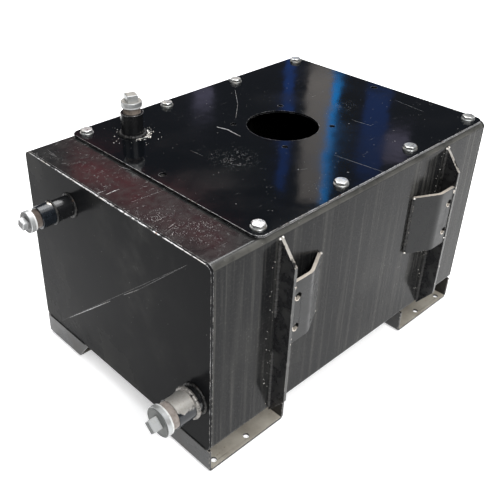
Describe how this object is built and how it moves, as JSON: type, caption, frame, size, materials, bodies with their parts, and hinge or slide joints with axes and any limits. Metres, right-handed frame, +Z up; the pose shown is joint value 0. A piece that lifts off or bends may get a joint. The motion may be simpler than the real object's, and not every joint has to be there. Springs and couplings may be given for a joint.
{
  "type": "hydraulic reservoir",
  "caption": "Rectangular welded steel hydraulic oil tank on channel feet, with a bolted lid, filter opening, filler, end ports with screw plugs and side brackets.",
  "frame": {"origin": "on the ground, centre of the rectangle of the four feet's outer fixing holes, in the middle of the tank's plan", "axes": "+Z up; X along the tank with the two screwed ports on its -X end; the brackets are on the -Y side"},
  "size_m": [0.6685, 0.4265, 0.4125],
  "materials": {
    "tank_paint": "gloss black paint, scratched and chipped at the edges",
    "bare_steel": "oiled mill-finish steel",
    "rubber": "matt black nitrile sheet",
    "zinc": "bright zinc plating",
    "seal": "white sealing ring",
    "mesh": "woven stainless wire cloth"
  },
  "bodies": {
    "tank": {"tank_wrap": "tank_paint", "front_end_plate": "tank_paint", "rear_end_plate": "tank_paint", "baffle_plate": "bare_steel", "lid_nuts": "bare_steel", "lid_gasket": "rubber", "return_stub": "tank_paint", "return_socket": "tank_paint", "return_drop_pipe": "bare_steel", "suction_stub": "tank_paint", "suction_socket": "tank_paint", "strainer_collar": "zinc", "strainer_cage": "zinc", "strainer_screen": "mesh", "strainer_end_cap": "zinc", "gusset_front": "tank_paint", "gusset_rear": "tank_paint", "bracket_front": "tank_paint", "bracket_rear": "tank_paint", "foot_front_near": "tank_paint", "foot_front_far": "tank_paint", "foot_rear_near": "tank_paint", "foot_rear_far": "tank_paint"},
    "lid": {"lid_plate": "tank_paint", "filler_socket": "tank_paint"},
    "lid_fasteners": {"lid_bolts": "zinc", "lid_washers": "zinc"},
    "filler_seal": {"filler_seal": "seal"},
    "filler_plug": {"filler_plug": "zinc"},
    "return_seal": {"return_seal": "seal"},
    "return_plug": {"return_plug": "zinc"},
    "suction_seal": {"suction_seal": "seal"},
    "suction_plug": {"suction_plug": "zinc"}
  },
  "joints": [
    {"name": "lid_lift", "type": "slide", "parent": "tank", "child": "lid", "axis": [0, 0, 1], "range_m": [0, 0.15]},
    {"name": "lid_bolts_out", "type": "slide", "parent": "lid", "child": "lid_fasteners", "axis": [0, 0, 1], "range_m": [0, 0.03]},
    {"name": "filler_travel", "type": "slide", "parent": "lid", "child": "filler_seal", "axis": [0, 0, 1], "range_m": [-0.0091, 0.0121]},
    {"name": "filler_turn", "type": "hinge", "parent": "filler_seal", "child": "filler_plug", "pos_m": [-0.148, 0.132, 0.3845], "axis": [0, 0, 1], "range_deg": [-2160, 2880]},
    {"name": "return_travel", "type": "slide", "parent": "tank", "child": "return_seal", "axis": [-1, 0, 0], "range_m": [-0.0091, 0.0121]},
    {"name": "return_turn", "type": "hinge", "parent": "return_seal", "child": "return_plug", "pos_m": [-0.347, 0.09, 0.3], "axis": [-1, 0, 0], "range_deg": [-2160, 2880]},
    {"name": "suction_travel", "type": "slide", "parent": "tank", "child": "suction_seal", "axis": [-1, 0, 0], "range_m": [-0.0106, 0.0136]},
    {"name": "suction_turn", "type": "hinge", "parent": "suction_seal", "child": "suction_plug", "pos_m": [-0.338, -0.172, 0.122], "axis": [-1, 0, 0], "range_deg": [-2520, 3240]}
  ],
  "couplings": [
    {"joint": "filler_travel", "follows": "filler_turn", "m_per_rad": 0.00023873},
    {"joint": "return_travel", "follows": "return_turn", "m_per_rad": 0.00023873},
    {"joint": "suction_travel", "follows": "suction_turn", "m_per_rad": 0.00023873}
  ]
}
